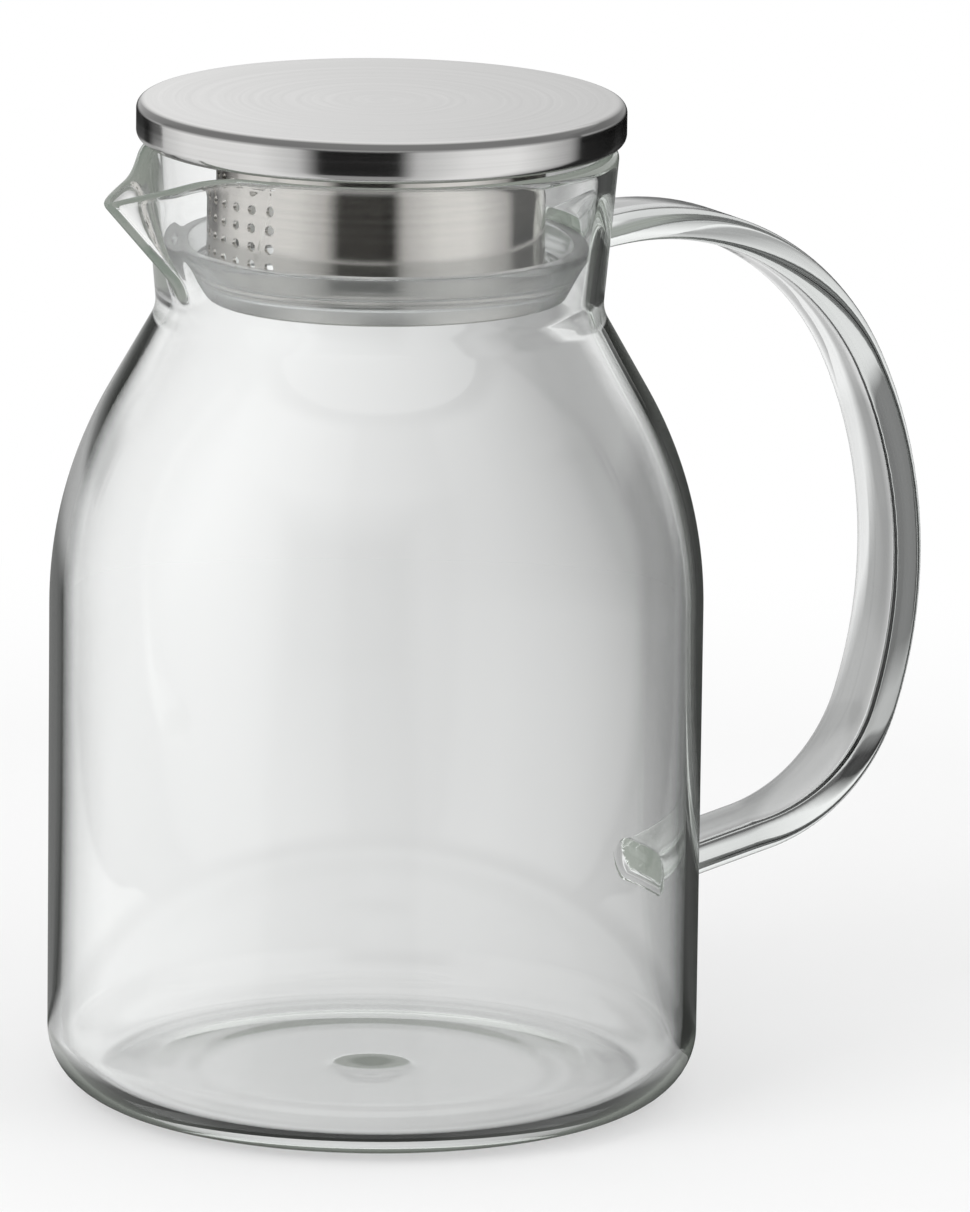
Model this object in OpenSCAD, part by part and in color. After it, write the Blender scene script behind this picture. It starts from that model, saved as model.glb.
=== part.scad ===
// Glass water jug with a pulled spout, a fused strap handle and a steel strainer lid.
// Sizes are in millimetres. The jug stands on z = 0 with its axis on Z, the spout points
// along -X and the handle along +X.

/* [Body] */
// Outside diameter of the straight body
body_d = 134; // [124:1:144]
// Thickness of the body and shoulder wall
body_wall = 2.8; // [2:0.1:3.4]
// Height at which the straight wall ends and the shoulder begins
body_straight_h = 101.5; // [92:0.5:115]
// Outside radius of the rounded corner round the base
base_corner_r = 12.5; // [8:0.5:16]
// Thickness of the glass floor
floor_t = 3.5; // [3:0.1:6]
// Diameter of the pushed-up hollow under the base
punt_d = 82; // [70:1:92]
// Width of the rounded border of that hollow, between its edge and its flat middle
punt_border = 12.5; // [8:0.5:20]
// Height of the hollow under the base
punt_h = 1; // [0.5:0.1:1.6]
// Diameter of the round dimple in the middle of the floor
dimple_d = 20; // [12:1:26]
// Depth of the dimple
dimple_h = 0.9; // [0.5:0.1:1.2]

/* [Shoulder and neck] */
// Outside radius of the shoulder's curve
shoulder_r = 90; // [75:1:110]
// Lean of the shoulder from the vertical where it meets the neck, in degrees
shoulder_slope = 29.6; // [26:0.2:34]
// Room between the strainer tube and the outside of the neck at its foot
neck_room = 12; // [10.5:0.25:13.5]
// Height of the neck from its foot to the rim
neck_h = 33.5; // [31:0.5:42]
// Thickness of the neck wall, which ends in a round rim
neck_wall = 3.7; // [3:0.1:4.2]
// How far the neck opens out between its foot and the rim
neck_spread = 3; // [2:0.25:4.5]
// Radius of the crease between the shoulder and the neck
crease_r = 8; // [4:0.5:12]

/* [Spout] */
// How far the tip of the spout stands out past the rim
spout_l = 15; // [10:0.5:20]
// How far the tip lies below the rim
spout_drop = 7; // [3:0.5:10]
// Width of the spout where it leaves the rim
spout_w = 32; // [24:0.5:40]
// Height of the foot of the keel above the foot of the neck
keel_h = 7; // [4:0.5:12]
// Thickness of the spout's two walls
spout_wall = 2.2; // [1.6:0.1:3]

/* [Handle] */
// Width of the glass strap
handle_w = 19.6; // [14:0.2:24]
// Thickness of the glass strap
handle_t = 6.6; // [5:0.2:9]
// Height of the upper root above the foot of the neck
handle_root_h = 12.4; // [9:0.2:16]
// Angle at which the strap rises out of the neck, in degrees
handle_rise = 8; // [0:0.5:15]
// Straight run of the strap before its first bend
handle_run = 4.4; // [2:0.2:10]
// Radius of the top bend
handle_top_r = 59; // [50:1:66]
// Sweep of the top bend, in degrees
handle_top_sweep = 71.6; // [66:0.2:78]
// Radius of the long side bend
handle_side_r = 97.5; // [85:0.5:110]
// Sweep of the long side bend, in degrees
handle_side_sweep = 45.2; // [38:0.2:52]
// Radius of the lower bend
handle_low_r = 37.5; // [30:0.5:42]
// Slope at which the strap comes down to the body, in degrees
handle_end_slope = 12.6; // [4:0.2:18]
// Depth to which the strap's roots are fused into the wall
weld_depth = 1.3; // [1.2:0.1:1.6]

/* [Lid] */
// How far the steel lid stands out past the rim
lid_overhang = 1.35; // [0.5:0.05:4]
// Height of the lid's side
lid_h = 8.4; // [7:0.1:14]
// Gap between the rim and the underside of the lid
lid_gap = 1.1; // [0.6:0.1:3]
// Thickness of the cap's sheet steel
lid_sheet = 0.8; // [0.5:0.05:1.2]
// Outside radius of the lid's top edge
lid_top_edge = 2.8; // [1.5:0.1:4]
// Outside radius of the lid's turned-in lower edge
lid_low_edge = 2.2; // [1.4:0.1:3]
// Width of the flat lip that the lower edge turns in to
lid_lip = 3.6; // [2:0.1:6]
// Thickness of the plate that closes the lid from below
liner_t = 0.8; // [0.5:0.05:1.5]
// Depth of the liner's pressed boss, which centres the tube
liner_boss_h = 1.2; // [0.6:0.1:3]

/* [Strainer] */
// Outside diameter of the strainer tube
tube_d = 67; // [60:0.5:70]
// Length of the tube from the liner to the bottom of its foot
tube_l = 27.5; // [26.5:0.5:30]
// Thickness of the tube's sheet steel
tube_sheet = 0.8; // [0.5:0.05:1]
// How far the tube flares out above its foot
foot_flare = 1.1; // [0.5:0.1:2]
// Height of the flare
foot_flare_h = 2.4; // [1.5:0.1:3.2]
// How far the foot's flat flange stands out past the flare
foot_flange = 1.4; // [0.8:0.1:1.8]
// Diameter of one strainer hole
hole_d = 2.1; // [1.4:0.1:2.8]
// Number of rows of holes
hole_rows = 5; // [3:1:5]
// Number of columns of holes
hole_columns = 7; // [3:2:13]
// Height of one row of holes
hole_row_pitch = 3.8; // [3:0.1:4]
// Angle from one column of holes to the next, in degrees
hole_column_pitch = 7.8; // [6:0.1:10]
// Distance from the lid's underside down to the first row of holes
hole_top = 6.1; // [4:0.1:7]
// Turn of the holes away from the spout, in degrees
strainer_turn = -2; // [-180:1:180]

/* [Seal] */
// Height of the silicone ring
seal_h = 10.6; // [9:0.1:12]
// Thickness of the silicone below the tube's foot
seal_web = 4; // [3:0.1:5]
// Thickness of the silicone over the tube's flange
seal_cover = 0.9; // [0.6:0.1:1.2]
// Thickness of the silicone outside the tube's flange, at the ring's lower edge
seal_foot = 2; // [1.2:0.1:4]
// Thickness of the outer lip at its top
seal_lip_t = 3.3; // [2:0.1:4]
// Height of the upright band at the top of the outer lip
seal_lip_band = 1.2; // [0.6:0.1:2]
// Width of the channel's floor between the tube and the outer lip
seal_channel_w = 2.6; // [1:0.1:3]
// How far the seal's bore stands inside the tube's wall
seal_step = 0.3; // [0:0.1:1]
// Clearance between the outer lip and the glass
seal_clearance = 0.2; // [0.1:0.05:0.5]
// Running clearance of the tube's foot in the seal, and of the liner's boss in the tube
running_clearance = 0.08; // [0.04:0.01:0.1]

/* [Hidden] */
$fn = 120;

glass_colour = [0.86, 0.9, 0.9, 0.45];
silicone_colour = [0.72, 0.73, 0.74, 0.8];
steel_colour = [0.75, 0.74, 0.72];

// Overshoot that carries a cutting shape clear past what it cuts
over = 5;

body_r = body_d / 2;
tube_r = tube_d / 2;
neck_r = tube_r + neck_room;
rim_r = neck_r + neck_spread;
lid_r = rim_r + lid_overhang;

// The shoulder's arc, and the outward normal of the cone that leads from it to the neck
shoulder_c = [body_r - shoulder_r, body_straight_h];
shoulder_n = [cos(shoulder_slope), sin(shoulder_slope)];

// Height at which the shoulder's cone reaches the foot of the neck, and height of the rim
neck_z = shoulder_c.y + (shoulder_r - shoulder_n.x * (neck_r - shoulder_c.x)) / shoulder_n.y;
rim_z = neck_z + neck_h;

// The neck opens a little towards the rim
neck_flare = atan((rim_r - neck_r) / neck_h);
neck_n = [cos(neck_flare), -sin(neck_flare)];
neck_line = neck_n * [rim_r, rim_z];

// The rim is a full round as thick as the neck wall
rim_bead_r = neck_wall / 2;
rim_bead_z = rim_z - rim_bead_r;
rim_bead_c = [radius_on_neck(rim_bead_r, rim_bead_z), rim_bead_z];

// Curves of the hollow under the base and of the dimple in the middle of its floor
punt_curve_r = cap_radius(punt_border, punt_h);
punt_flat_r = punt_d / 2 - punt_border;
dimple_curve_r = cap_radius(dimple_d / 2, dimple_h);

// The spout is a straight V trough along its keel, and its mouth slopes from the rim to the tip
tip = [-(rim_r + spout_l), rim_z - spout_drop];
keel_foot = [-radius_on_neck(0, neck_z + keel_h), neck_z + keel_h];
keel_lean = atan2(keel_foot.x - tip.x, tip.y - keel_foot.y);
mouth_x = -sqrt(rim_bead_c.x * rim_bead_c.x - spout_w * spout_w / 4);
mouth_slope = atan2(spout_drop, mouth_x - tip.x);
trough_depth = (mouth_x - tip.x) * cos(keel_lean) + spout_drop * sin(keel_lean);
trough_angle = atan2(spout_w / 2, trough_depth);
trough_l = norm(tip - keel_foot);

// Bends of the handle: where each one starts, and the heading of the strap there
root_z = neck_z + handle_root_h;
root = [radius_on_neck(0, root_z), root_z];
top_start = root + handle_run * heading(handle_rise);
side_heading = handle_rise - handle_top_sweep;
side_start = bend_point(top_start, handle_rise, handle_top_r, handle_top_sweep);
low_heading = side_heading - handle_side_sweep;
low_start = bend_point(side_start, side_heading, handle_side_r, handle_side_sweep);
end_heading = handle_end_slope - 180;
low_sweep = low_heading - end_heading;
end_start = bend_point(low_start, low_heading, handle_low_r, low_sweep);
end_run = (end_start.x - body_r) / cos(handle_end_slope) + weld_depth;

// Stations along the strap, each a place and a heading, from the upper root to the lower one
bend_step = 5;
strap_stations = concat(
    [[root - weld_depth * heading(handle_rise), handle_rise]],
    bend_stations(top_start, handle_rise, handle_top_r, handle_top_sweep),
    bend_stations(side_start, side_heading, handle_side_r, handle_side_sweep),
    bend_stations(low_start, low_heading, handle_low_r, low_sweep),
    [[end_start, end_heading], [end_start + end_run * heading(end_heading), end_heading]]
);

// Heights in the lid, from the rim upwards and down the tube
lid_z = rim_z + lid_gap;
liner_z = lid_z + lid_sheet;
liner_r = lid_r - lid_low_edge;
foot_z = liner_z - tube_l;
flange_top = foot_z + tube_sheet;
foot_r = tube_r + foot_flare;
flange_r = foot_r + foot_flange;

// The seal hangs on the tube's flange, and its lip stops just short of the glass
seal_z = foot_z - seal_web;
seal_top = seal_z + seal_h;
channel_z = flange_top + running_clearance + seal_cover;
channel_r = foot_r + running_clearance + seal_channel_w;
lip_z = seal_top - seal_lip_band;
lip_r = radius_on_neck(neck_wall, lip_z) - seal_clearance;

// Radius of a neck surface at a given height, a given depth in from the outside
function radius_on_neck(depth, z) = (neck_line - depth - neck_n.y * z) / neck_n.x;

// Radius of the curve whose cap has a given half-width and height
function cap_radius(half_w, h) = (half_w * half_w + h * h) / (2 * h);

// Points along an arc, from one angle to another
function arc(c, r, from, to, steps) =
    [for (i = [0 : steps]) c + r * heading(from + (to - from) * i / steps)];

// A list of points the other way round
function reversed(points) = [for (i = [len(points) - 1 : -1 : 0]) points[i]];

// Point where two lines meet, each given by its normal and its distance from the origin
function meet(n1, d1, n2, d2) =
    [d1 * n2.y - d2 * n1.y, n1.x * d2 - n2.x * d1] / (n1.x * n2.y - n1.y * n2.x);

// Unit vector along a heading, measured up from +X
function heading(a) = [cos(a), sin(a)];

// Point on a bend that turns down from a heading, a given sweep along it
function bend_point(from, a, r, sweep) =
    from + r * (heading(a - 90) - heading(a - 90 - sweep));

// Stations of one bend, without its last one
function bend_stations(from, a, r, sweep) =
    let (steps = ceil(sweep / bend_step))
        [for (i = [0 : steps - 1])
            let (turn = sweep * i / steps)
                [bend_point(from, a, r, turn), a - turn]];

// Side of the vessel from base corner to neck, drawn in from its outside by one depth on the
// body and shoulder and by another on the neck
function side_profile(body_in, neck_in, floor_z) =
    let (
        corner_r = base_corner_r - body_in,
        curve_r = shoulder_r - body_in,
        cone_line = shoulder_n * shoulder_c + curve_r,
        blend_r = crease_r + body_in,
        blend_c = meet(shoulder_n, cone_line + blend_r, neck_n, neck_line - neck_in + blend_r)
    )
    concat(
        arc([body_r - base_corner_r, floor_z + corner_r], corner_r, -90, 0, 12),
        arc(shoulder_c, curve_r, 0, shoulder_slope, 20),
        arc(blend_c, blend_r, shoulder_slope + 180, 180 - neck_flare, 10)
    );

// Half section of the glass wall: under the base, up the outside, over the rim, down the inside
// and across the flat floor to the dimple
module wall_section() {
    punt_half = asin(punt_border / punt_curve_r);
    dimple_half = asin(dimple_d / 2 / dimple_curve_r);
    dimple_c = [0, floor_t - dimple_h + dimple_curve_r];
    polygon(concat(
        [[0, punt_h]],
        arc([punt_flat_r, punt_h - punt_curve_r], punt_curve_r, 90, 90 - punt_half, 8),
        side_profile(0, 0, 0),
        arc(rim_bead_c, rim_bead_r, -neck_flare, 180 - neck_flare, 16),
        reversed(side_profile(body_wall, neck_wall, floor_t)),
        arc(dimple_c, dimple_curve_r, dimple_half - 90, -90, 6)
    ));
}

// Straight V trough along the keel, moved in from the outside by a wall thickness
module spout_trough(wall, foot_run, length) {
    depth = trough_depth + 2 * neck_wall;
    half_w = depth * tan(trough_angle);
    translate([keel_foot.x, 0, keel_foot.y])
        rotate([0, -keel_lean, 0])
            translate([wall / sin(trough_angle), 0, -foot_run])
                linear_extrude(foot_run + length)
                    polygon([[0, 0], [depth, half_w], [depth, -half_w]]);
}

// Space above the mouth of the spout
module above_mouth() {
    size = 2 * (rim_r + spout_l);
    translate([tip.x, 0, tip.y])
        rotate([0, -mouth_slope, 0])
            translate([-size / 2, -size / 2, 0])
                cube(size);
}

// Core of the neck, out to the middle of its wall
module neck_core() {
    low = neck_z - over;
    high = rim_z + over;
    translate([0, 0, low])
        cylinder(
            r1 = radius_on_neck(rim_bead_r, low),
            r2 = radius_on_neck(rim_bead_r, high),
            h = high - low
        );
}

// Blown vessel: one skin of glass with its spout pulled out of the neck
module glass_jug() {
    color(glass_colour)
        difference() {
            union() {
                rotate_extrude()
                    wall_section();
                difference() {
                    spout_trough(0, neck_wall / 2, trough_l + over);
                    above_mouth();
                    neck_core();
                }
            }
            spout_trough(spout_wall, over, trough_l + spout_drop + over);
        }
}

// Outline of the strap's flat oval section: thickness along x, width along y
strap_half_flat = (handle_w - handle_t) / 2;
strap_outline = concat(
    arc([0, strap_half_flat], handle_t / 2, 0, 180, 10),
    arc([0, -strap_half_flat], handle_t / 2, 180, 360, 10)
);

// Glass strap, swept through its stations and fused to the neck above and the body below
module glass_handle() {
    sides = len(strap_outline);
    last = len(strap_stations) - 1;
    points = [
        for (station = strap_stations)
            for (p = strap_outline)
                let (across = p.x * heading(station[1] - 90))
                    [station[0].x + across.x, p.y, station[0].y + across.y]
    ];
    walls = [
        for (i = [0 : last - 1])
            for (j = [0 : sides - 1])
                let (a = i * sides + j, b = i * sides + (j + 1) % sides)
                    each [[a, b, b + sides], [a, b + sides, a + sides]]
    ];
    upper_end = [for (j = [sides - 1 : -1 : 0]) j];
    lower_end = [for (j = [0 : sides - 1]) last * sides + j];
    color(glass_colour)
        polyhedron(points, concat(walls, [upper_end, lower_end]));
}

// Silicone ring of U section: a sprung outer lip, a channel, and a groove for the tube's flange
module silicone_seal() {
    bore_r = tube_r - tube_sheet - seal_step;
    neck_bore_r = foot_r + running_clearance;
    groove_r = flange_r + running_clearance;
    groove_z = foot_z - running_clearance;
    groove_top = flange_top + running_clearance;
    color(silicone_colour)
        rotate_extrude()
            polygon([
                [bore_r, seal_z],
                [flange_r + seal_foot, seal_z],
                [lip_r, lip_z],
                [lip_r, seal_top],
                [lip_r - seal_lip_t, seal_top],
                [channel_r, channel_z],
                [neck_bore_r, channel_z],
                [neck_bore_r, groove_top],
                [groove_r, groove_top],
                [groove_r, groove_z],
                [bore_r, groove_z]
            ]);
}

// Perforated tube with a flared foot and a flat flange
module strainer_tube() {
    color(steel_colour)
        difference() {
            rotate_extrude()
                polygon([
                    [tube_r - tube_sheet, liner_z],
                    [tube_r, liner_z],
                    [tube_r, flange_top + foot_flare_h],
                    [foot_r, flange_top],
                    [flange_r, flange_top],
                    [flange_r, foot_z],
                    [foot_r - tube_sheet, foot_z],
                    [tube_r - tube_sheet, flange_top + foot_flare_h]
                ]);
            for (row = [0 : hole_rows - 1])
                for (column = [0 : hole_columns - 1])
                    strainer_hole(
                        lid_z - hole_top - row * hole_row_pitch,
                        column - (hole_columns - 1) / 2
                    );
        }
}

// One hole, drilled from outside the tube towards its axis
module strainer_hole(z, column) {
    rotate([0, 0, 180 + strainer_turn + column * hole_column_pitch])
        translate([tube_r - tube_sheet - 1, 0, z])
            rotate([0, 90, 0])
                cylinder(d = hole_d, h = tube_sheet + 2, $fn = 32);
}

// Plate that closes the lid from below, with a pressed boss inside the tube
module lid_liner() {
    color(steel_colour) {
        translate([0, 0, liner_z])
            cylinder(r = liner_r, h = liner_t);
        translate([0, 0, liner_z - liner_boss_h])
            cylinder(r = tube_r - tube_sheet - running_clearance, h = liner_boss_h + liner_t);
    }
}

// Half section of a disc with a rounded top edge and a rounded lower edge
module disc_section(r, low, high, low_edge, top_edge) {
    translate([0, low])
        square([r - low_edge, high - low - top_edge]);
    translate([0, low + low_edge])
        square([r, high - low - top_edge - low_edge]);
    translate([0, low + low_edge])
        square([r - top_edge, high - low - low_edge]);
    translate([r - low_edge, low + low_edge])
        circle(low_edge);
    translate([r - top_edge, high - top_edge])
        circle(top_edge);
}

// Drawn steel cap, with its lower edge turned in under the liner
module lid_cap() {
    color(steel_colour)
        rotate_extrude()
            difference() {
                disc_section(lid_r, lid_z, lid_z + lid_h, lid_low_edge, lid_top_edge);
                disc_section(lid_r - lid_sheet, lid_z + lid_sheet, lid_z + lid_h - lid_sheet,
                    lid_low_edge - lid_sheet, lid_top_edge - lid_sheet);
                translate([0, lid_z - over])
                    square([liner_r - lid_lip, lid_sheet + 2 * over]);
            }
}

glass_jug();
glass_handle();
silicone_seal();
strainer_tube();
lid_liner();
lid_cap();
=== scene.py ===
import math

import bpy
from mathutils import Matrix, Vector


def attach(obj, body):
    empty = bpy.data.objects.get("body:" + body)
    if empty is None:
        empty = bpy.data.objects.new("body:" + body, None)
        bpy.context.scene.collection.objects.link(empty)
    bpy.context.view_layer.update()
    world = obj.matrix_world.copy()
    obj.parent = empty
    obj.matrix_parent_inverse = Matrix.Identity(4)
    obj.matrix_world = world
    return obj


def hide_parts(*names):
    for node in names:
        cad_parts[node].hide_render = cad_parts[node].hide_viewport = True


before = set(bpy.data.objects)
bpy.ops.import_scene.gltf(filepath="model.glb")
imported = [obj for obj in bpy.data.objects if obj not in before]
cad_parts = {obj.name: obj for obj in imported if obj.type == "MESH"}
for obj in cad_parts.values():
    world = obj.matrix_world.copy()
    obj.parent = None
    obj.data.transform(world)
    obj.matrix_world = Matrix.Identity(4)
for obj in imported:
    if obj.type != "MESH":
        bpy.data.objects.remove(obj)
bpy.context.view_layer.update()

# Blown jug
# Clear glass blown into a mould: a thin wall, a pushed-up base with a dimple in its middle and a full
# round rim. While the neck is soft, the V spout is pulled out of it.
MM = 0.001
body_r, body_wall, straight_z, corner_r = 67.0, 2.8, 101.5, 12.5
floor_t, punt_r, punt_border, punt_h = 3.5, 54.0, 22.0, 0.6
dimple_r, dimple_h, ring_h, ring_band, ring_count = 11.2, 0.9, 0.06, 24, 3
shoulder_r, shoulder_slope, crease_r = 90.0, 29.6, 8.0
neck_z, neck_r, neck_h, rim_r, neck_wall = 163.127, 45.5, 33.5, 48.5, 3.7
rim_z = neck_z + neck_h
neck_flare = math.degrees(math.atan((rim_r - neck_r) / neck_h))
corner_steps, shoulder_steps, crease_steps, rim_steps, dish_steps, ring_steps = 14, 24, 12, 16, 16, 36
base_pitch, side_pitch, neck_pitch, floor_pitch, jug_sides = 3, 4, 1.1, 2, 300


def arc(centre, radius, start, end, steps):
    """Points along an arc of a half section, from one angle to another."""
    turns = [math.radians(start + (end - start) * i / steps) for i in range(steps + 1)]
    return [(centre[0] + radius * math.cos(a), centre[1] + radius * math.sin(a)) for a in turns]


def stepped(points, pitch):
    """The same outline with its long straight runs divided into steps."""
    out = [points[0]]
    for (r0, z0), (r1, z1) in zip(points, points[1:]):
        count = max(1, math.ceil(math.hypot(r1 - r0, z1 - z0) / pitch))
        out += [(r0 + (r1 - r0) * i / count, z0 + (z1 - z0) * i / count) for i in range(1, count + 1)]
    return out


def turned(name, outline, steps, closed):
    """A round piece: one vertex is extruded along its half section, which is then spun round the axis."""
    bpy.ops.object.select_all(action="DESELECT")
    bpy.ops.mesh.primitive_plane_add(size=MM)
    piece = bpy.context.object
    piece.name = name
    bpy.ops.object.mode_set(mode="EDIT")
    bpy.ops.mesh.merge(type="CENTER")
    bpy.ops.transform.translate(value=(outline[0][0] * MM, 0, outline[0][1] * MM))
    for (r0, z0), (r1, z1) in zip(outline, outline[1:]):
        move = {"value": ((r1 - r0) * MM, 0, (z1 - z0) * MM)}
        bpy.ops.mesh.extrude_region_move(TRANSFORM_OT_translate=move)
    if closed:
        move = {"value": ((outline[0][0] - outline[-1][0]) * MM, 0, (outline[0][1] - outline[-1][1]) * MM)}
        bpy.ops.mesh.extrude_region_move(TRANSFORM_OT_translate=move)
    bpy.ops.mesh.select_all(action="SELECT")
    bpy.ops.mesh.spin(steps=steps, angle=math.tau, center=(0, 0, 0), axis=(0, 0, 1))
    bpy.ops.mesh.select_all(action="SELECT")
    bpy.ops.mesh.remove_doubles(threshold=0.002 * MM)
    bpy.ops.mesh.normals_make_consistent(inside=False)
    bpy.ops.object.mode_set(mode="OBJECT")
    bpy.ops.object.shade_smooth_by_angle(angle=math.radians(40))
    return piece


def neck_radius(depth, z):
    """Radius of the neck at a height, a given depth in from its outside."""
    flare = math.radians(neck_flare)
    return rim_r + (z - rim_z) * math.tan(flare) - depth / math.cos(flare)


def side_outline(body_in, neck_in, floor_z):
    """Side of the jug from base corner to neck, drawn in by one depth on the body and another on the neck."""
    lean, flare = math.radians(shoulder_slope), math.radians(neck_flare)
    corner, curve, blend = corner_r - body_in, shoulder_r - body_in, crease_r + body_in
    shoulder = (body_r - shoulder_r, straight_z)
    cone = math.cos(lean) * shoulder[0] + math.sin(lean) * shoulder[1] + curve + blend
    neck = math.cos(flare) * rim_r - math.sin(flare) * rim_z - neck_in + blend
    spread = math.sin(lean + flare)
    centre = (
        (cone * math.sin(flare) + neck * math.sin(lean)) / spread,
        (cone * math.cos(flare) - neck * math.cos(lean)) / spread,
    )
    return (
        arc((body_r - corner_r, floor_z + corner), corner, -90, 0, corner_steps)
        + arc(shoulder, curve, 0, shoulder_slope, shoulder_steps)
        + arc(centre, blend, 180 + shoulder_slope, 180 - neck_flare, crease_steps)
    )


bead_r = neck_wall / 2
bead = (neck_radius(bead_r, rim_z - bead_r), rim_z - bead_r)
outer_side = side_outline(0, 0, 0)
inner_side = side_outline(body_wall, neck_wall, floor_t)
rim_round = arc(bead, bead_r, -neck_flare, 180 - neck_flare, rim_steps)
dish = [i / dish_steps for i in range(dish_steps + 1)]
punt = [(0, punt_h)] + [
    (punt_r - punt_border * (1 - t), punt_h * 0.5 * (1 + math.cos(math.pi * t))) for t in dish
]
dimple = [
    (dimple_r * (1 - t), floor_t - dimple_h * 0.5 * (1 + math.cos(math.pi * (1 - t)))) for t in dish
]
ring_in = inner_side[0][0] - ring_band
rings = [
    (ring_in + ring_band * (1 - t), floor_t - ring_h * math.sin(math.pi * ring_count * t) ** 2)
    for t in [i / ring_steps for i in range(ring_steps + 1)]
]
walls = (
    stepped(punt + outer_side[:corner_steps + 1], base_pitch)
    + stepped(outer_side[corner_steps:], side_pitch)[1:]
    + stepped([outer_side[-1], rim_round[0]], neck_pitch)[1:]
    + rim_round[1:]
    + stepped([rim_round[-1], inner_side[-1]], neck_pitch)[1:]
    + stepped(inner_side[::-1], side_pitch)[1:]
    + rings[1:]
    + stepped([rings[-1], dimple[0]], floor_pitch)[1:]
    + dimple[1:]
)
jug = turned("blown_jug", walls, steps=jug_sides, closed=False)

spout_l, spout_drop, spout_half, spout_wall, keel_h, keel_round = 15.0, 7.0, 16.0, 2.2, 7.0, 2.2
tip_x, tip_z, keel_z = -(rim_r + spout_l), rim_z - spout_drop, neck_z + keel_h
keel_x = -neck_radius(0, keel_z)
keel_lean = (keel_x - tip_x) / (tip_z - keel_z)
mouth_x = -math.sqrt(bead[0] ** 2 - spout_half ** 2)
mouth_run = mouth_x - keel_x + keel_lean * (rim_z - keel_z)
side_rise = mouth_run / (math.hypot(spout_half, keel_round) - keel_round)
pull_half, pull_z, gather, gather_z = 26, keel_z - 3.5, 0.45, keel_z + 6.5
thin_half, thin_z, keel_blend, side_blend, tip_blend, nudge = 6, keel_z + 10, 2.5, 0.8, 0.35, 0.1


def soft_least(a, b, reach):
    """The lesser of two values, with a soft change from one to the other."""
    h = max(reach - abs(a - b), 0) / reach
    return min(a, b) - h * h * reach / 4


def pulled(y, z):
    """Outside of the neck and spout at a place across and up."""
    neck_x = -math.sqrt(neck_radius(0, z) ** 2 - y ** 2)
    trough_x = keel_x - keel_lean * (z - keel_z) + side_rise * (math.hypot(y, keel_round) - keel_round)
    return soft_least(neck_x, trough_x, keel_blend + side_blend * abs(y))


def eased(value, start, end):
    """A smooth rise from 0 to 1 between two values."""
    share = min(1, max(0, (value - start) / (end - start)))
    return share * share * (3 - 2 * share)


for vertex in jug.data.vertices:
    x, y, z = (c / MM for c in vertex.co)
    if x > 0 or abs(y) > pull_half or z < pull_z:
        continue
    outside, inside = (neck_radius(d, min(z, bead[1])) for d in (0, neck_wall))
    through = min(1, max(0, (outside - math.hypot(x, y)) / (outside - inside)))
    y *= 1 - gather * eased(z, pull_z, gather_z) * (1 - (y / pull_half) ** 2)
    if z > keel_z:
        top = tip_z + (rim_z - tip_z) * soft_least(abs(y) / spout_half, 1, tip_blend)
        z = keel_z + (z - keel_z) * (top - keel_z) / (rim_z - keel_z)
    lean_y = (pulled(y + nudge, z) - pulled(y - nudge, z)) / (2 * nudge)
    lean_z = (pulled(y, z + nudge) - pulled(y, z - nudge)) / (2 * nudge)
    neck_r_here = neck_radius(0, z)
    neck_x = math.sqrt(neck_r_here ** 2 - y ** 2)
    neck_run = neck_x - math.sqrt(neck_radius(neck_wall, z) ** 2 - y ** 2)
    neck_lean = (y ** 2 + (neck_r_here * math.tan(math.radians(neck_flare))) ** 2) / neck_x ** 2
    thin = (1 - eased(abs(y), thin_half, pull_half)) * eased(z, pull_z, thin_z)
    wall = 1 + (spout_wall / neck_wall - 1) * thin
    run = neck_run * wall * math.sqrt((1 + lean_y ** 2 + lean_z ** 2) / (1 + neck_lean))
    vertex.co = Vector((pulled(y, z) + run * through, y, z)) * MM

# Strap handle
# A flat oval rod of the same glass, bent hot in one sweep and fused to the neck above and to the body
# below, where the soft glass runs out into a small foot against the wall.
strap_w, strap_t, strap_sides, foot_r, sink, hug = 19.6, 6.6, 56, 2.0, 1.4, 8
root_z, first_run, rise, fall = neck_z + 12.4, 4.4, 8.0, 12.6
bend_radii, sweeps, bend_step = (59.0, 97.5, 37.5), [71.6, 45.2], 2.5
sweeps.append(rise - sweeps[0] - sweeps[1] + 180 - fall)
foot_steps = [0, 0.15, 0.4, 0.8, 1.3, 2.0, 3.2]


def strap_direction(degrees):
    """A step of 1 along a heading in the handle's plane."""
    return Vector((math.cos(math.radians(degrees)), 0, math.sin(math.radians(degrees))))


def foot_growth(gap):
    """How far the foot stands out past the strap, a given distance from the wall."""
    gap = min(max(gap, 0), foot_r)
    return foot_r - math.sqrt(foot_r ** 2 - (foot_r - gap) ** 2)


def pull_strap(step, place, growth_before, growth_after):
    """Extrudes the open end of the strap by one step and resizes it for the foot."""
    bpy.ops.mesh.extrude_edges_move(TRANSFORM_OT_translate={"value": step * MM})
    thick = (strap_t + 2 * growth_after) / (strap_t + 2 * growth_before)
    wide = (strap_w + 2 * growth_after) / (strap_w + 2 * growth_before)
    bpy.ops.transform.resize(value=(thick, wide, thick), center_override=place * MM)


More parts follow.
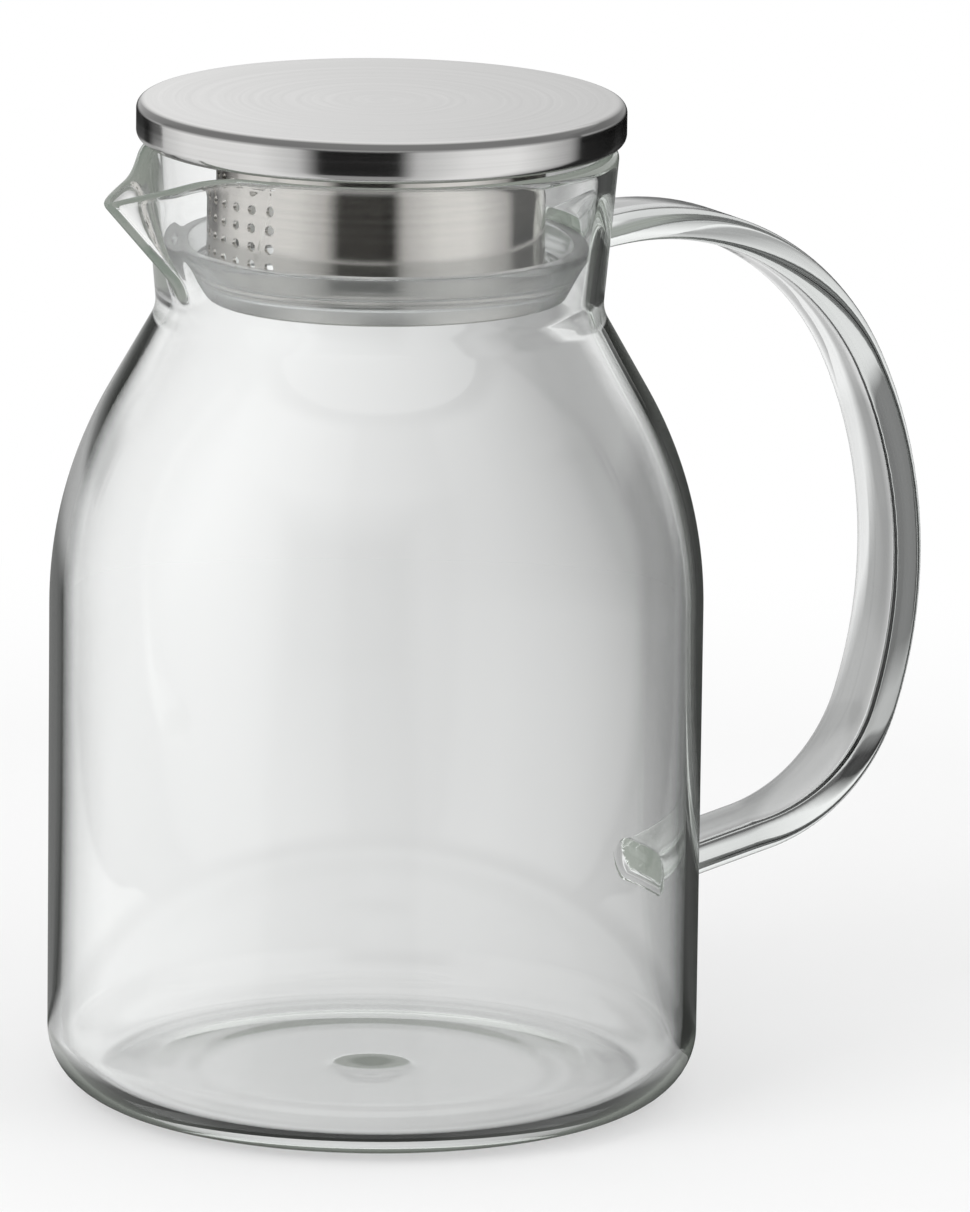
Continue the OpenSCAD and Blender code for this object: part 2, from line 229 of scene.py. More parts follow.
heading = rise
place = Vector((neck_radius(0, root_z), 0, root_z)) - sink * strap_direction(heading)
bpy.ops.object.select_all(action="DESELECT")
bpy.ops.mesh.primitive_circle_add(
    vertices=strap_sides,
    radius=strap_t / 2 * MM,
    location=place * MM,
    rotation=(0, math.radians(90 - heading), 0),
)
strap = bpy.context.object
strap.name = "strap_handle"
bpy.ops.object.transform_apply(location=True, rotation=True, scale=True)
for side in (1, -1):
    bpy.ops.object.mode_set(mode="EDIT")
    bpy.ops.mesh.select_all(action="DESELECT")
    bpy.ops.object.mode_set(mode="OBJECT")
    for vertex in strap.data.vertices:
        vertex.select = vertex.co.y * side > 1e-6
    bpy.ops.object.mode_set(mode="EDIT")
    bpy.ops.transform.translate(value=(0, side * (strap_w - strap_t) / 2 * MM, 0))
bpy.ops.mesh.select_all(action="SELECT")
thick, wide = ((size + 2 * foot_growth(0)) / size for size in (strap_t, strap_w))
bpy.ops.transform.resize(value=(thick, wide, thick), center_override=place * MM)
gaps = [-sink] + foot_steps + [first_run]
for before, after in zip(gaps, gaps[1:]):
    place = place + (after - before) * strap_direction(heading)
    pull_strap((after - before) * strap_direction(heading), place, foot_growth(before), foot_growth(after))
for radius, sweep in zip(bend_radii, sweeps):
    centre = place + radius * strap_direction(heading - 90)
    steps = round(sweep / bend_step)
    bpy.ops.mesh.spin(steps=steps, angle=-math.radians(sweep), center=centre * MM, axis=(0, 1, 0))
    heading -= sweep
    place = centre - radius * strap_direction(heading - 90)
last_run = (place.x - body_r) / math.cos(math.radians(fall))
gaps = [last_run] + foot_steps[::-1] + [-sink]
for before, after in zip(gaps, gaps[1:]):
    place = place + (before - after) * strap_direction(heading)
    pull_strap((before - after) * strap_direction(heading), place, foot_growth(before), foot_growth(after))
bpy.ops.mesh.edge_face_add()
bpy.ops.mesh.select_all(action="DESELECT")
bpy.ops.object.mode_set(mode="OBJECT")
for vertex in strap.data.vertices[:strap_sides]:
    vertex.select = True
bpy.ops.object.mode_set(mode="EDIT")
bpy.ops.mesh.edge_face_add()
bpy.ops.mesh.select_all(action="SELECT")
bpy.ops.mesh.normals_make_consistent(inside=False)
bpy.ops.object.mode_set(mode="OBJECT")
for vertex in strap.data.vertices:
    x, y, z = (c / MM for c in vertex.co)
    wall_r = neck_radius(0, z) if z > straight_z else body_r
    gap = x - wall_r
    if gap < hug and abs(y) < wall_r:
        follow = 1 - min(1, max(0, gap / hug)) ** 2
        vertex.co.x -= (wall_r - math.sqrt(wall_r ** 2 - y ** 2)) * follow * MM

weld = jug.modifiers.new("weld", "BOOLEAN")
weld.operation = "UNION"
weld.solver = "EXACT"
weld.object = strap
bpy.ops.object.select_all(action="DESELECT")
bpy.context.view_layer.objects.active = jug
jug.select_set(True)
bpy.ops.object.modifier_apply(modifier="weld")
bpy.data.objects.remove(strap)
bpy.ops.object.shade_smooth_by_angle(angle=math.radians(40))


def new_finish(piece, name):
    """An empty node material on a piece, with its tree and its output."""
    material = bpy.data.materials.new(name)
    material.use_nodes = True
    material.node_tree.nodes.clear()
    piece.data.materials.clear()
    piece.data.materials.append(material)
    return material.node_tree, material.node_tree.nodes.new("ShaderNodeOutputMaterial")


def add(tree, kind, settings=None, **links):
    """Adds a node, sets its fields and sockets, and links sockets to other nodes' outputs."""
    node = tree.nodes.new(kind)
    for key, value in (settings or {}).items():
        if key in node.inputs:
            node.inputs[key].default_value = value
        else:
            setattr(node, key, value)
    for key, output in links.items():
        tree.links.new(output, node.inputs[key.replace("_", " ")])
    return node


def number(tree, operation, first, second):
    """A sum, product or comparison of two outputs or values."""
    node = add(tree, "ShaderNodeMath", {"operation": operation})
    for socket, value in zip(node.inputs, (first, second)):
        if isinstance(value, (int, float)):
            socket.default_value = value
        else:
            tree.links.new(value, socket)
    return node.outputs["Value"]


def span(tree, value, start, end, low=0.0, high=1.0):
    """A value that goes from low to high while another one goes from start to end."""
    settings = {"From Min": start, "From Max": end, "To Min": low, "To Max": high}
    return add(tree, "ShaderNodeMapRange", settings, Value=value).outputs["Result"]


def ramp(tree, value, stops):
    """A grey or a colour that changes from stop to stop."""
    node = add(tree, "ShaderNodeValToRGB", Fac=value)
    while len(node.color_ramp.elements) < len(stops):
        node.color_ramp.elements.new(0.5)
    for element, (position, colour) in zip(node.color_ramp.elements, stops):
        element.position = position
        element.color = (*colour, 1) if isinstance(colour, tuple) else (colour, colour, colour, 1)
    return node.outputs["Color"]


def mixed(tree, share, first, second, way="MIX"):
    """Two colours mixed by a share, which is an output or a value."""
    node = add(tree, "ShaderNodeMix", {"data_type": "RGBA", "blend_type": way})
    for socket, value in zip((node.inputs[0], node.inputs[6], node.inputs[7]), (share, first, second)):
        if isinstance(value, (int, float)):
            socket.default_value = value
        elif isinstance(value, tuple):
            socket.default_value = (*value, 1)
        else:
            tree.links.new(value, socket)
    return node.outputs[2]


thin_glass, slant_painted_shade, edge_painted_shade = (0.985, 0.987, 0.986), (0.8, 0.805, 0.805), (0.36, 0.365, 0.365)
painted_glow_colour, depth_green, depth_per_m = (0.1, 0.105, 0.096), (0.82, 0.87, 0.84), 20.0
tree, out = new_finish(jug, "clear_glass")
place_on = add(tree, "ShaderNodeTexCoord").outputs["Object"]
place_xyz = add(tree, "ShaderNodeSeparateXYZ", Vector=place_on).outputs
ripple = add(tree, "ShaderNodeTexNoise", {"Scale": 22.0, "Detail": 1.0}, Vector=place_on)
skin = add(tree, "ShaderNodeBump", {"Strength": 0.12, "Distance": 0.0006}, Height=ripple.outputs["Fac"])
# Painted shade: the glass colour darkens towards its grazing edges, less so on the neck, to stand in for dark
# surroundings seen in the edges.
edge = add(tree, "ShaderNodeLayerWeight", {"Blend": 0.5}).outputs["Facing"]
facing = number(tree, "MULTIPLY", edge, span(tree, place_xyz["Z"], 0.11, 0.168, 1.0, 0.72))
glass_and_edge_shade = ramp(tree, facing, [(0.5, thin_glass), (0.69, slant_painted_shade), (0.8, edge_painted_shade)])
# Painted glow: the glass gives off a faint green light where a ray has reflected inside it more than twice
# (jug) or passed more than two walls (handle), so those parts look lit.
rays = add(tree, "ShaderNodeLightPath").outputs
trapped = number(tree, "GREATER_THAN", rays["Glossy Depth"], 2.5)
wall_light = number(tree, "MULTIPLY", trapped, span(tree, place_xyz["X"], 0.075, 0.085, 1.0, 0.0))
from_inside = number(tree, "GREATER_THAN", rays["Transmission Depth"], 2.5)
strap_light = number(tree, "MULTIPLY", from_inside, span(tree, place_xyz["X"], 0.0675, 0.07, 0.0, 0.7))
painted_glow_share = number(tree, "MAXIMUM", wall_light, strap_light)
glass = add(
    tree,
    "ShaderNodeBsdfPrincipled",
    {"Roughness": 0.0, "IOR": 1.47, "Transmission Weight": 1.0, "Emission Strength": 1.0},
    Base_Color=glass_and_edge_shade,
    Normal=skin.outputs["Normal"],
    Emission_Color=mixed(tree, painted_glow_share, (0, 0, 0), painted_glow_colour),
)
depth = add(tree, "ShaderNodeVolumeAbsorption", {"Color": (*depth_green, 1), "Density": depth_per_m})
tree.links.new(glass.outputs["BSDF"], out.inputs["Surface"])
tree.links.new(depth.outputs["Volume"], out.inputs["Volume"])
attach(jug, "jug")
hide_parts("glass_jug", "glass_handle")

# Lip seal
# A moulded ring of translucent silicone with a U section. Its sprung outer lip bears on the neck, and a
# groove at its foot holds the flange of the strainer, which hangs from the lid, so those sizes come first.
lid_gap, sheet, tube_l, tube_r, flare_r, flange_r, play = 1.1, 0.8, 27.5, 33.5, 34.6, 36.0, 0.08
lid_z = rim_z + lid_gap
liner_z = lid_z + sheet
foot_z = liner_z - tube_l
flange_z = foot_z + sheet
web, seal_h, lip_band, lip_t, neck_gap, cover, channel_w = 4.0, 10.6, 1.2, 3.3, 0.2, 0.9, 2.6
seal_foot, seal_step = 2.0, 0.3
seal_z = foot_z - web
seal_top = seal_z + seal_h
lip_z = seal_top - lip_band
lip_r = neck_radius(neck_wall, lip_z) - neck_gap
bore_r, throat_r, groove_r = tube_r - sheet - seal_step, flare_r + play, flange_r + play
groove_z, groove_top = foot_z - play, flange_z + play
channel_r, channel_z = throat_r + channel_w, groove_top + cover
seal_outline = [
    (bore_r, seal_z), (flange_r + seal_foot, seal_z), (lip_r, lip_z), (lip_r, seal_top),
    (lip_r - lip_t, seal_top), (channel_r, channel_z), (throat_r, channel_z), (throat_r, groove_top),
    (groove_r, groove_top), (groove_r, groove_z), (bore_r, groove_z),
]


def rounded(points, radius, steps=4):
    """A closed outline with its corners rounded off."""
    out = []
    for i, corner in enumerate(points):
        here = Vector(corner)
        back, on = Vector(points[i - 1]) - here, Vector(points[(i + 1) % len(points)]) - here
        cut = min(radius, back.length * 0.4, on.length * 0.4)
        a, b = here + back.normalized() * cut, here + on.normalized() * cut
        for k in range(steps + 1):
            t = k / steps
            out.append(tuple(a * (1 - t) ** 2 + here * 2 * t * (1 - t) + b * t ** 2))
    return out


seal = turned("lip_seal", rounded(seal_outline, radius=0.5), steps=192, closed=True)
tree, out = new_finish(seal, "translucent_silicone")
place_on = add(tree, "ShaderNodeTexCoord").outputs["Object"]
cloud = add(tree, "ShaderNodeTexNoise", {"Scale": 160.0, "Detail": 3.0}, Vector=place_on)
milk = ramp(tree, cloud.outputs["Fac"], [(0.3, (0.93, 0.945, 0.945)), (0.7, (0.97, 0.98, 0.98))])
grain = add(tree, "ShaderNodeTexNoise", {"Scale": 2600.0, "Detail": 2.0}, Vector=place_on)
skin = add(tree, "ShaderNodeBump", {"Strength": 0.15, "Distance": 0.00004}, Height=grain.outputs["Fac"])
silicone = add(
    tree,
    "ShaderNodeBsdfPrincipled",
    {"IOR": 1.41, "Transmission Weight": 0.85},
    Base_Color=milk,
    Roughness=span(tree, cloud.outputs["Fac"], 0.0, 1.0, 0.14, 0.22),
    Normal=skin.outputs["Normal"],
)
tree.links.new(silicone.outputs["BSDF"], out.inputs["Surface"])
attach(seal, "seal")
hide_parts("silicone_seal")

# Strainer tube
# Thin stainless sheet rolled and welded into a tube, its foot flared and flanged to sit in the seal, with
# rows of small holes punched on the side that faces the spout.
flare_z, tube_pitch = flange_z + 2.4, 1.9
tube_outline = stepped(
    [(tube_r - sheet, liner_z), (tube_r, liner_z), (tube_r, flare_z)], tube_pitch
) + [
    (tube_r + 0.25, flange_z + 1.5), (tube_r + 0.7, flange_z + 0.7), (flare_r, flange_z),
    (flange_r, flange_z), (flange_r, foot_z), (flare_r - sheet, foot_z),
    (tube_r - 0.1, flange_z + 0.1), (tube_r - 0.55, flange_z + 1.1),
] + stepped([(tube_r - sheet, flare_z), (tube_r - sheet, liner_z - tube_pitch)], tube_pitch)
tube = turned("strainer", tube_outline, steps=288, closed=True)

hole_r, hole_rows, hole_columns, hole_top, row_pitch, column_pitch = 1.05, 5, 7, 6.1, 3.8, 7.8
strainer_turn, punch_l, punch_sides, mid_sheet = -2, 4, 28, tube_r - sheet / 2
bpy.ops.object.select_all(action="DESELECT")
punches = []
for row in range(hole_rows):
    for column in range(hole_columns):
        angle = math.radians(180 + strainer_turn + (column - (hole_columns - 1) / 2) * column_pitch)
        bpy.ops.mesh.primitive_cylinder_add(
            vertices=punch_sides,
            radius=hole_r * MM,
            depth=punch_l * MM,
            location=(
                mid_sheet * math.cos(angle) * MM,
                mid_sheet * math.sin(angle) * MM,
                (lid_z - hole_top - row * row_pitch) * MM,
            ),
            rotation=(0, math.pi / 2, angle),
        )
        punches.append(bpy.context.object)
for punch in punches:
    punch.select_set(True)
bpy.ops.object.join()
punch = bpy.context.object
holes = tube.modifiers.new("holes", "BOOLEAN")
holes.operation = "DIFFERENCE"
holes.solver = "EXACT"
holes.object = punch
bpy.ops.object.select_all(action="DESELECT")
bpy.context.view_layer.objects.active = tube
tube.select_set(True)
bpy.ops.object.modifier_apply(modifier="holes")
bpy.data.objects.remove(punch)
bpy.ops.object.shade_smooth_by_angle(angle=math.radians(30))

brushing = bpy.data.node_groups.new("turned_brushing", "ShaderNodeTree")
brushing.interface.new_socket("Place", in_out="INPUT", socket_type="NodeSocketVector")
brushing.interface.new_socket("Lines", in_out="INPUT", socket_type="NodeSocketFloat")
brushing.interface.new_socket("Streak", in_out="OUTPUT", socket_type="NodeSocketFloat")
given = brushing.nodes.new("NodeGroupInput")
result = brushing.nodes.new("NodeGroupOutput")
flat = add(brushing, "ShaderNodeVectorMath", {"operation": "MULTIPLY"})
flat.inputs[1].default_value = (1, 1, 0)
brushing.links.new(given.outputs["Place"], flat.inputs[0])
reach = add(brushing, "ShaderNodeVectorMath", {"operation": "LENGTH"}, Vector=flat.outputs["Vector"])
around = add(brushing, "ShaderNodeVectorMath", {"operation": "NORMALIZE"}, Vector=flat.outputs["Vector"])
height = add(brushing, "ShaderNodeSeparateXYZ", Vector=given.outputs["Place"])
ring = add(brushing, "ShaderNodeCombineXYZ", X=reach.outputs["Value"], Y=height.outputs["Z"])
lines = add(brushing, "ShaderNodeVectorMath", {"operation": "SCALE"}, Vector=ring.outputs["Vector"])
brushing.links.new(given.outputs["Lines"], lines.inputs["Scale"])
slow = {"operation": "SCALE", "Scale": 1.3}
drift = add(brushing, "ShaderNodeVectorMath", slow, Vector=around.outputs["Vector"])
stroke = add(brushing, "ShaderNodeVectorMath", {"operation": "ADD"})
brushing.links.new(lines.outputs["Vector"], stroke.inputs[0])
brushing.links.new(drift.outputs["Vector"], stroke.inputs[1])
scratch = {"Scale": 0.25, "Detail": 6.0, "Roughness": 0.7}
fine = add(brushing, "ShaderNodeTexNoise", scratch, Vector=stroke.outputs["Vector"])
brushing.links.new(fine.outputs["Fac"], result.inputs["Streak"])


def brushed_steel(piece, name, lines, dark, light, smooth, rough, pull):
    """Stainless steel brushed round the axis: fine streaks in colour, gloss and relief."""
    tree, out = new_finish(piece, name)
    strokes = add(tree, "ShaderNodeGroup", {"node_tree": brushing})
    strokes.inputs["Lines"].default_value = lines
    tree.links.new(add(tree, "ShaderNodeTexCoord").outputs["Object"], strokes.inputs["Place"])
    streak = strokes.outputs["Streak"]
    tone = ramp(tree, streak, [(0.32, dark), (0.68, light)])
    gloss = span(tree, streak, 0.3, 0.7, smooth, rough)
    relief = add(tree, "ShaderNodeBump", {"Strength": 0.12, "Distance": 0.00002}, Height=streak)
    grain = add(tree, "ShaderNodeTangent", {"direction_type": "RADIAL", "axis": "Z"})
    steel = add(
        tree,
        "ShaderNodeBsdfPrincipled",
        {
            "Metallic": 1.0,
            "Anisotropic": pull,
            "Anisotropic Rotation": 0.25,
            "Specular Tint": (0.85, 0.85, 0.85, 1),
        },
        Base_Color=tone,
        Roughness=gloss,
        Normal=relief.outputs["Normal"],
        Tangent=grain.outputs["Tangent"],
    )
    tree.links.new(steel.outputs["BSDF"], out.inputs["Surface"])
    return tree, steel, tone, gloss


tube_dark, tube_light = (0.655, 0.633, 0.608), (0.705, 0.68, 0.65)
inside_painted_light, inside_rough = (0.97, 0.96, 0.94), 0.35
tree, steel, tone, gloss = brushed_steel(
    tube, "tube_steel", lines=5200.0, dark=tube_dark, light=tube_light, smooth=0.11, rough=0.15, pull=0.6
)
flat = add(tree, "ShaderNodeVectorMath", {"operation": "MULTIPLY"})
tree.links.new(add(tree, "ShaderNodeTexCoord").outputs["Object"], flat.inputs[0])
flat.inputs[1].default_value = (1, 1, 0)
reach = add(tree, "ShaderNodeVectorMath", {"operation": "LENGTH"}, Vector=flat.outputs["Vector"])
# Painted light: the inner wall of the tube gets a much paler steel colour, so the holes look lit from inside;
# it is also made rougher.
inside = span(tree, reach.outputs["Value"], (tube_r - sheet) * MM, (tube_r - sheet * 0.7) * MM, 1.0, 0.0)
dull = number(tree, "MULTIPLY", inside, inside_rough)
tree.links.new(number(tree, "MAXIMUM", gloss, dull), steel.inputs["Roughness"])
tree.links.new(mixed(tree, inside, tone, inside_painted_light), steel.inputs["Base Color"])
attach(tube, "lid")
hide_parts("strainer_tube")

# Liner plate
# A pressed stainless disc that closes the cap from below. Its boss fits inside the top of the strainer
# tube, which is spot-welded to it.
cap_r, low_edge, boss_h, boss_edge = 49.85, 2.2, 1.2, 0.5
liner_r, boss_r = cap_r - low_edge, tube_r - sheet - play
boss_z, liner_top = liner_z - boss_h, liner_z + sheet
liner_outline = [
    (0, boss_z), (boss_r - boss_edge, boss_z), (boss_r, lid_z), (boss_r, liner_z),
    (liner_r, liner_z), (liner_r, liner_top), (0, liner_top),
]
liner = turned("liner_plate", liner_outline, steps=192, closed=False)
liner_dark, liner_light = (0.60, 0.59, 0.57), (0.68, 0.67, 0.65)
brushed_steel(
    liner, "liner_steel", lines=3000.0, dark=liner_dark, light=liner_light, smooth=0.22, rough=0.32, pull=0.6
)
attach(liner, "lid")
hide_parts("lid_liner")

# Steel cap
# A shallow cup drawn from stainless sheet, its lower edge turned in under the liner. The flat top is
# brushed in circles and the side is brushed round.
cap_h, top_edge, turned_in = 8.4, 2.0, 3.6
lip_in = liner_r - turned_in
cap_outline = (
    [(0, lid_z + cap_h)]
    + stepped([(2, lid_z + cap_h), (cap_r - top_edge, lid_z + cap_h)], 6)
    + arc((cap_r - top_edge, lid_z + cap_h - top_edge), top_edge, 90, 0, 14)[1:]
    + arc((cap_r - low_edge, lid_z + low_edge), low_edge, 0, -90, 12)
    + [(lip_in, lid_z), (lip_in, lid_z + sheet)]
    + arc((cap_r - low_edge, lid_z + low_edge), low_edge - sheet, -90, 0, 8)
    + arc((cap_r - top_edge, lid_z + cap_h - top_edge), top_edge - sheet, 0, 90, 8)
    + [(0, lid_z + cap_h - sheet)]
)
cap = turned("steel_cap", cap_outline, steps=288, closed=False)
cap_dark, cap_light, edge_z = (0.77, 0.765, 0.755), (0.87, 0.865, 0.855), (lid_z + cap_h - top_edge) * MM
tree, steel, tone, _ = brushed_steel(
    cap, "cap_steel", lines=3400.0, dark=cap_dark, light=cap_light, smooth=0.11, rough=0.18, pull=0.7
)
place_on = add(tree, "ShaderNodeTexCoord").outputs["Object"]
place_xyz = add(tree, "ShaderNodeSeparateXYZ", Vector=place_on).outputs
# Painted shade: the steel's colour is darkened to about a quarter in a band round the rounded top edge, and
# slightly on the side below it.
round_edge = span(tree, place_xyz["Z"], edge_z, edge_z + top_edge * MM)
painted_rim_shade = ramp(tree, round_edge, [(0.03, 0.88), (0.35, 0.22), (0.8, 0.22), (1.0, 1.0)])
tree.links.new(mixed(tree, 1.0, tone, painted_rim_shade, "MULTIPLY"), steel.inputs["Base Color"])
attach(cap, "lid")
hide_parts("lid_cap")

# Studio
# A pale floor that fades into a white surround, soft lamps over each shoulder of the camera, and a low tent
# of light and dark panels round the jug that only reflections show, in the steel and in the glass.
view_turn, view_rise, view_roll, distance = 29.0, 12.79, 0.75, 2.351
to_right = Vector((math.cos(math.radians(view_turn)), -math.sin(math.radians(view_turn)), 0))
to_camera = Vector((-math.sin(math.radians(view_turn)), -math.cos(math.radians(view_turn)), 0))


def along(tree, direction, space="Object"):
    """How far a point of the stage, or a ray to the surround, lies along a direction."""
    node = add(tree, "ShaderNodeVectorMath", {"operation": "DOT_PRODUCT"})
    tree.links.new(add(tree, "ShaderNodeTexCoord").outputs[space], node.inputs[0])
    node.inputs[1].default_value = direction
    return node.outputs["Value"]


def from_axis(tree):
    """How far a point of the stage lies from the middle of the jug's base."""
    place = add(tree, "ShaderNodeTexCoord").outputs["Object"]
    return add(tree, "ShaderNodeVectorMath", {"operation": "LENGTH"}, Vector=place).outputs["Value"]


def shown(tree, rays):
    """1 for what the camera sees, also in metal and through glass, and 0 for what only lights the jug."""
    indirect = number(tree, "MAXIMUM", rays["Is Glossy Ray"], rays["Is Transmission Ray"])
    return number(tree, "MAXIMUM", rays["Is Camera Ray"], indirect)


def past_glass(tree, rays, shade):
    """A strength of 1, or a shade of it where it is seen through glass."""
    node = add(tree, "ShaderNodeMix", {"data_type": "FLOAT"})
    tree.links.new(rays["Is Transmission Ray"], node.inputs[0])
    node.inputs[2].default_value = 1
    tree.links.new(shade, node.inputs[3])
    return node.outputs[0]


def crossed(tree, share, first, second):
    """Two shaders mixed by a share."""
    node = add(tree, "ShaderNodeMixShader", Fac=share)
    tree.links.new(first, node.inputs[1])
    tree.links.new(second, node.inputs[2])
    return node.outputs["Shader"]


bpy.ops.object.select_all(action="DESELECT")
bpy.ops.mesh.primitive_circle_add(vertices=96, radius=5, fill_type="NGON", location=(0, 0, -0.0003))
floor = bpy.context.object
floor.name = "floor"
tree, out = new_finish(floor, "pale_floor")
rays = add(tree, "ShaderNodeLightPath").outputs
fade = {"From Min": 0.16, "From Max": 0.5, "interpolation_type": "SMOOTHSTEP"}
far = add(tree, "ShaderNodeMapRange", fade, Value=from_axis(tree)).outputs["Result"]
widen = span(tree, along(tree, to_camera), -0.35, -0.7, 1.0, 1.4)
across = span(tree, number(tree, "MULTIPLY", along(tree, to_right), widen), -0.1, 0.4)
shade = ramp(tree, across, [(0.04, 1), (0.24, 0.72), (0.4, 0.4), (0.6, 0.42), (0.84, 0.95)])
white = add(tree, "ShaderNodeEmission", {"Color": (1, 1, 1, 1)}, Strength=past_glass(tree, rays, shade))
paint = add(tree, "ShaderNodeBsdfDiffuse", {"Color": (0.88, 0.88, 0.88, 1)})
least = number(tree, "ADD", 0.45, number(tree, "MULTIPLY", 0.47, rays["Is Transmission Ray"]))
glow = number(tree, "MULTIPLY", shown(tree, rays), number(tree, "MAXIMUM", far, least))
surface = crossed(tree, glow, paint.outputs["BSDF"], white.outputs["Emission"])
tree.links.new(surface, out.inputs["Surface"])

tent_in, tent_out, level_top = 0.058, 0.3, 0.42
panels = [
    (-180, 0.8), (-178.5, 0.7), (-176, 0.2), (-151, 0.2), (-146, 0.05), (-141, 0.05),
    (-132, 0.6), (-97, 0.94), (-55, 0.95), (-36, 0.66), (-26, 0.01), (8, 0.01),
    (16, 0.62), (40, 0.95), (62, 0.98), (93, 0.45), (103, 0.02), (140, 0.02),
    (146, 0.07), (152, 0.07), (158, 0.04), (176, 0.02), (178.5, 0.7), (180, 0.8),
]
for name, start, end, height in (("front_tent", -116, 100, 0.55), ("back_tent", 100, 244, 0.36)):
    bpy.ops.object.select_all(action="DESELECT")
    bpy.ops.mesh.primitive_plane_add(size=MM)
    tent = bpy.context.object
    tent.name = name
    bpy.ops.object.mode_set(mode="EDIT")
    bpy.ops.mesh.merge(type="CENTER")
    first = to_camera * math.cos(math.radians(start)) + to_right * math.sin(math.radians(start))
    bpy.ops.transform.translate(value=first * tent_in + Vector((0, 0, 0.0002)))
    bpy.ops.mesh.extrude_region_move(TRANSFORM_OT_translate={"value": first * (tent_out - tent_in)})
    bpy.ops.mesh.extrude_region_move(TRANSFORM_OT_translate={"value": Vector((0, 0, height))})
    bpy.ops.mesh.select_all(action="SELECT")
    bpy.ops.mesh.spin(steps=72, angle=-math.radians(end - start), center=(0, 0, 0), axis=(0, 0, 1))
    bpy.ops.object.mode_set(mode="OBJECT")

    # Behind the jug the panels run straight back, so their angle is taken from beside the jug's edge.
    tree, out = new_finish(tent, name + "_cloth")
    side, ahead = along(tree, to_right), along(tree, to_camera)
    edge = span(tree, ahead, 0.0, -0.06, 0.0, tent_in)
    beside = number(tree, "MAXIMUM", number(tree, "SUBTRACT", number(tree, "ABSOLUTE", side, 0), edge), 0)
    beside = number(tree, "MULTIPLY", beside, number(tree, "SIGN", side, 0))
    around = span(tree, number(tree, "ARCTAN2", beside, ahead), -math.pi, math.pi)
    tone = ramp(tree, around, [(0.5 + angle / 360, grey) for angle, grey in panels])
    level = span(tree, along(tree, Vector((0, 0, 1))), 0.0, level_top)
    if name == "front_tent":
        tone = number(tree, "MAXIMUM", tone, ramp(tree, level, [(0.05, 0.35), (0.15, 0)]))
        top_light = ramp(tree, level, [(0.51, 0), (0.71, 0.92)])
    else:
        left_glow = ramp(tree, level, [(0.12, 0), (0.2, 0.5), (0.28, 0.5), (0.32, 0)])
        left_glow = number(tree, "MULTIPLY", left_glow, number(tree, "LESS_THAN", side, -0.02))
        tone = number(tree, "MAXIMUM", tone, left_glow)
        tone = number(tree, "MULTIPLY", tone, ramp(tree, level, [(0.31, 1), (0.36, 0.15)]))
        top_light = ramp(tree, level, [(0.42, 0), (0.51, 1)])
        top_light = number(tree, "MULTIPLY", top_light, span(tree, side, -0.07, 0.08, 1.0, 0.7))
    # Painted shadow: the panels turn nearly black in a ring close round the jug's foot, a contact shadow that
    # shows in reflections.
    tone = number(tree, "MULTIPLY", tone, span(tree, from_axis(tree), 0.066, 0.08, 0.06, 1.0))
    tone = number(tree, "MAXIMUM", tone, top_light)

    # The cloth shows in reflections only, weaker after the first, and through two walls only in the first.
    rays = add(tree, "ShaderNodeLightPath").outputs
    again = number(tree, "MULTIPLY", number(tree, "GREATER_THAN", rays["Glossy Depth"], 1.5), 0.7)
    tone = number(tree, "MULTIPLY", tone, number(tree, "SUBTRACT", 1, again))
    light = add(tree, "ShaderNodeEmission", {"Color": (1, 1, 1, 1)}, Strength=tone)
    bare = add(tree, "ShaderNodeBsdfTransparent")
    near_wall = number(tree, "LESS_THAN", rays["Transmission Depth"], 2.5)
    direct = number(tree, "MAXIMUM", near_wall, number(tree, "LESS_THAN", rays["Glossy Depth"], 1.5))
    mirrored = number(tree, "MULTIPLY", number(tree, "GREATER_THAN", rays["Glossy Depth"], 0.5), direct)
    surface = crossed(tree, mirrored, bare.outputs["BSDF"], light.outputs["Emission"])
    tree.links.new(surface, out.inputs["Surface"])
    tent.visible_camera = tent.visible_diffuse = tent.visible_shadow = False

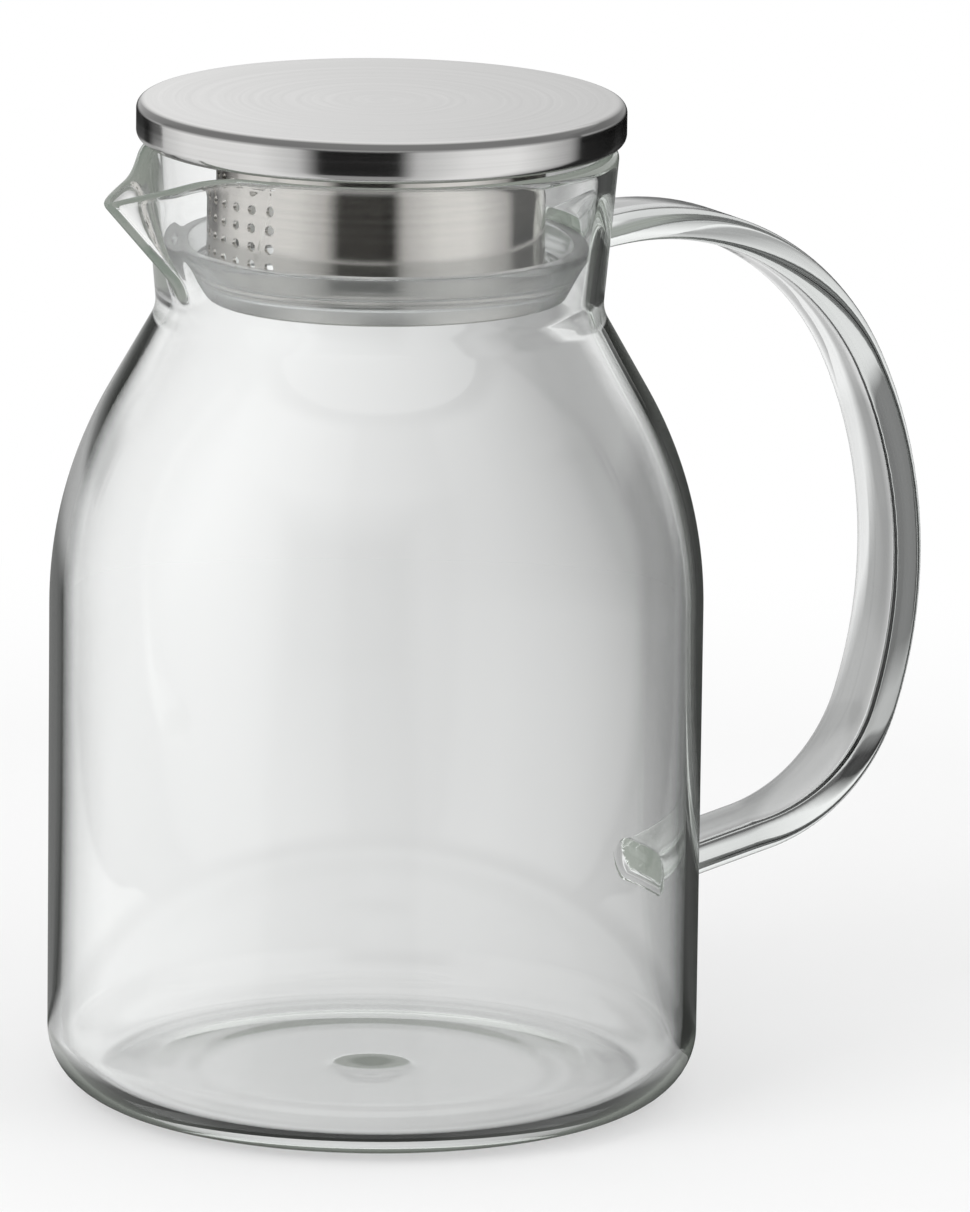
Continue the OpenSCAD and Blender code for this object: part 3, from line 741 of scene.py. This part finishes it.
world = bpy.data.worlds.new("studio")
bpy.context.scene.world = world
world.use_nodes = True
tree = world.node_tree
tree.nodes.clear()
out = tree.nodes.new("ShaderNodeOutputWorld")
rays = add(tree, "ShaderNodeLightPath").outputs
dusk = ramp(tree, along(tree, to_right, "Generated"), [(0.02, 1), (0.15, 0.45), (0.45, 0.45), (0.7, 1)])
fill = add(tree, "ShaderNodeBackground", {"Color": (1, 1, 1, 1), "Strength": 0.85})
surround = add(tree, "ShaderNodeBackground", {"Color": (1, 1, 1, 1)}, Strength=past_glass(tree, rays, dusk))
sky = crossed(tree, shown(tree, rays), fill.outputs["Background"], surround.outputs["Background"])
tree.links.new(sky, out.inputs["Surface"])

lamps = [("key_box", -0.9, 0.9, 1.2, 0.9, 9.0), ("fill_box", 1.0, 0.7, 1.0, 0.8, 3.0)]
for name, side, ahead, up, size, power in lamps:
    lamp = bpy.data.lights.new(name, "AREA")
    lamp.size = size
    lamp.energy = power
    box = bpy.data.objects.new(name, lamp)
    bpy.context.scene.collection.objects.link(box)
    box.location = to_right * side + to_camera * ahead + Vector((0, 0, up))
    box.rotation_euler = (Vector((0, 0, 0.1)) - box.location).to_track_quat("-Z", "Y").to_euler()
    box.visible_camera = box.visible_glossy = box.visible_transmission = False

aim_right, aim_up, focal_px, photo_px, film_mm = 0.02224, 0.10105, 11475, 970, 36
target = to_right * aim_right + Vector((0, 0, aim_up))
back = to_camera * math.cos(math.radians(view_rise)) + Vector((0, 0, math.sin(math.radians(view_rise))))
upward = back.cross(to_right)
roll = math.radians(view_roll)
axis_x = to_right * math.cos(roll) + upward * math.sin(roll)
axis_y = upward * math.cos(roll) - to_right * math.sin(roll)
lens = bpy.data.cameras.new("camera")
lens.sensor_fit = "HORIZONTAL"
lens.sensor_width = film_mm
lens.lens = focal_px / photo_px * film_mm
lens.clip_start = 0.05
lens.clip_end = 60
camera = bpy.data.objects.new("camera", lens)
bpy.context.scene.collection.objects.link(camera)
turned_to = Matrix((axis_x, axis_y, back)).transposed().to_4x4()
camera.matrix_world = Matrix.Translation(target + back * distance) @ turned_to
bpy.context.scene.camera = camera
bpy.context.scene.view_settings.view_transform = "Standard"
